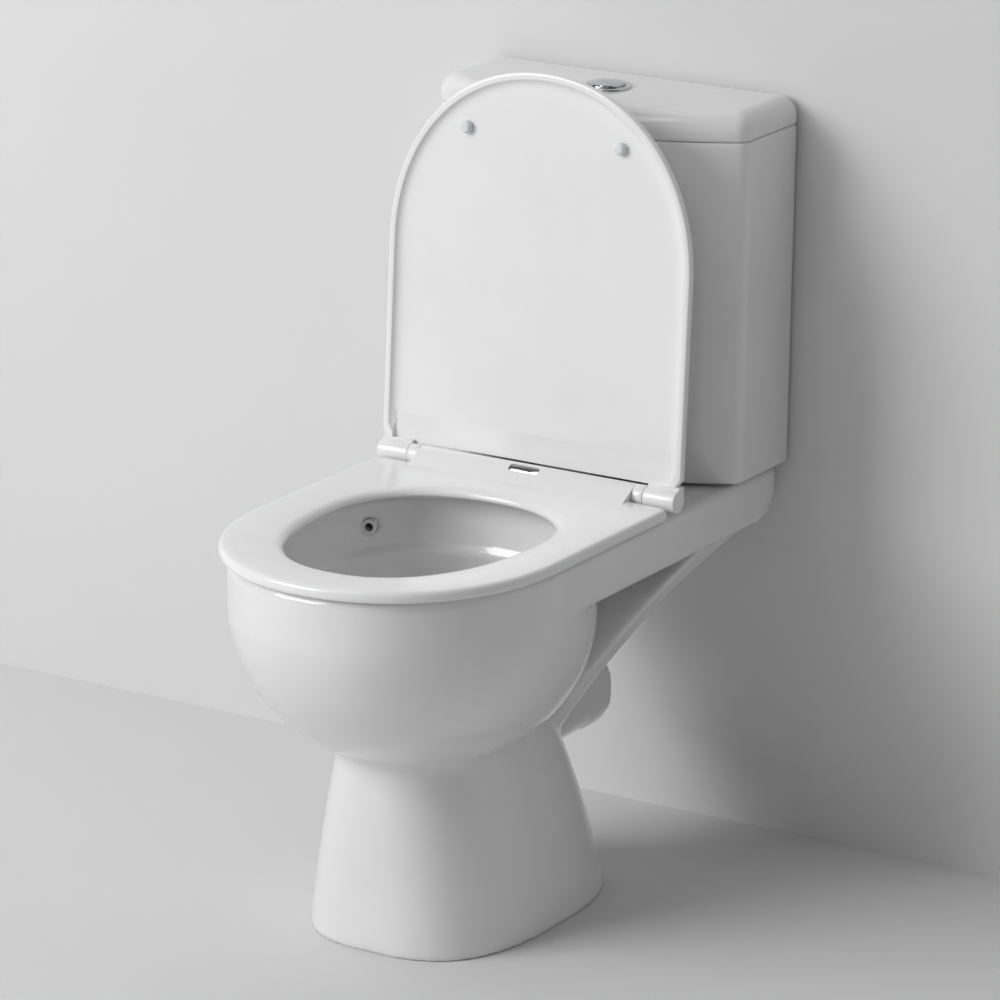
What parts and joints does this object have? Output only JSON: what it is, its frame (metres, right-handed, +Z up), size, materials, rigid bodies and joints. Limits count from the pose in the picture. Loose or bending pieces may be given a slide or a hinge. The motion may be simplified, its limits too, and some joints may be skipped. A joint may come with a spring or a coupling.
{
  "type": "close coupled toilet",
  "caption": "Floor standing close coupled toilet with a horizontal outlet, a slim soft-close seat and lid on a quick release hinge, and a dual flush push button.",
  "frame": {"origin": "middle of the bounding box's footprint, on the floor", "axes": "+X to the right seen from the front, -Y to the front, +Z up"},
  "size_m": [0.373, 0.646, 0.844],
  "materials": {
    "glaze": "gloss",
    "seat_plastic": "gloss",
    "chrome": "polished",
    "steel": "satin",
    "brass": "satin",
    "dark_rubber": "matte",
    "pale_rubber": "satin",
    "white_nylon": "satin",
    "grey_plastic": "satin"
  },
  "bodies": {
    "pan_and_cistern": {"pan": "glaze", "floor_screws": "steel", "screw_caps": "seat_plastic", "jet_nozzles": "seat_plastic", "cistern": "glaze", "coupling_gasket": "dark_rubber", "coupling_bolts": "brass", "bolt_seals": "dark_rubber", "coupling_washers": "steel", "coupling_nuts": "brass", "hinge_post_left": "seat_plastic", "hinge_post_right": "seat_plastic", "hinge_pin_left": "steel", "hinge_pin_right": "steel", "seat_studs": "steel", "stud_sleeves": "dark_rubber", "stud_washers": "white_nylon", "stud_nuts": "white_nylon", "valve_base": "grey_plastic", "valve_base_washer": "dark_rubber", "valve_backnut": "grey_plastic", "valve_cage": "grey_plastic", "fill_valve": "grey_plastic", "inlet_washer": "dark_rubber", "inlet_nut": "white_nylon", "fill_tube": "white_nylon"},
    "seat": {"seat": "seat_plastic", "seat_damper": "grey_plastic", "seat_bush": "white_nylon", "seat_buffers": "pale_rubber"},
    "release": {"release_button": "chrome"},
    "lid": {"lid": "seat_plastic", "lid_damper": "grey_plastic", "lid_bush": "white_nylon", "lid_buffers": "pale_rubber"},
    "tank_lid": {"cistern_lid": "glaze", "button_ring": "chrome", "button_nut": "white_nylon", "full_spring": "steel", "half_spring": "steel"},
    "full_flush": {"full_button": "chrome"},
    "half_flush": {"half_button": "chrome"},
    "plunger": {"valve_plunger": "white_nylon", "valve_seal": "dark_rubber", "valve_float": "grey_plastic"},
    "float": {"fill_float": "white_nylon"}
  },
  "joints": [
    {"name": "lid_hinge", "type": "hinge", "parent": "pan_and_cistern", "child": "lid", "pos_m": [0, 0.101, 0.427], "axis": [-1, 0, 0], "range_deg": [-94, 0]},
    {"name": "seat_hinge", "type": "hinge", "parent": "pan_and_cistern", "child": "seat", "pos_m": [0, 0.101, 0.427], "axis": [-1, 0, 0], "range_deg": [0, 93]},
    {"name": "release_press", "type": "slide", "parent": "seat", "child": "release", "axis": [0, -0.7071, 0.7071], "range_m": [-0.0025, 0], "stiffness_N_per_m": 800, "springref_m": 0.002},
    {"name": "tank_lid_lift", "type": "slide", "parent": "pan_and_cistern", "child": "tank_lid", "axis": [0, 0, 1], "range_m": [0, 0.08]},
    {"name": "full_press", "type": "slide", "parent": "tank_lid", "child": "full_flush", "axis": [0, 0, 1], "range_m": [-0.006, 0], "stiffness_N_per_m": 1200, "springref_m": 0.003, "deforming": ["full_spring"]},
    {"name": "half_press", "type": "slide", "parent": "tank_lid", "child": "half_flush", "axis": [0, 0, 1], "range_m": [-0.006, 0], "stiffness_N_per_m": 1000, "springref_m": 0.003, "deforming": ["half_spring"]},
    {"name": "float_rise", "type": "slide", "parent": "pan_and_cistern", "child": "float", "axis": [0, 0, 1], "range_m": [0, 0.025]},
    {"name": "plunger_lift", "type": "slide", "parent": "pan_and_cistern", "child": "plunger", "axis": [0, 0, 1], "range_m": [0, 0.018]}
  ],
  "couplings": [
    {"joint": "plunger_lift", "follows": "full_press", "ratio": -3}
  ]
}
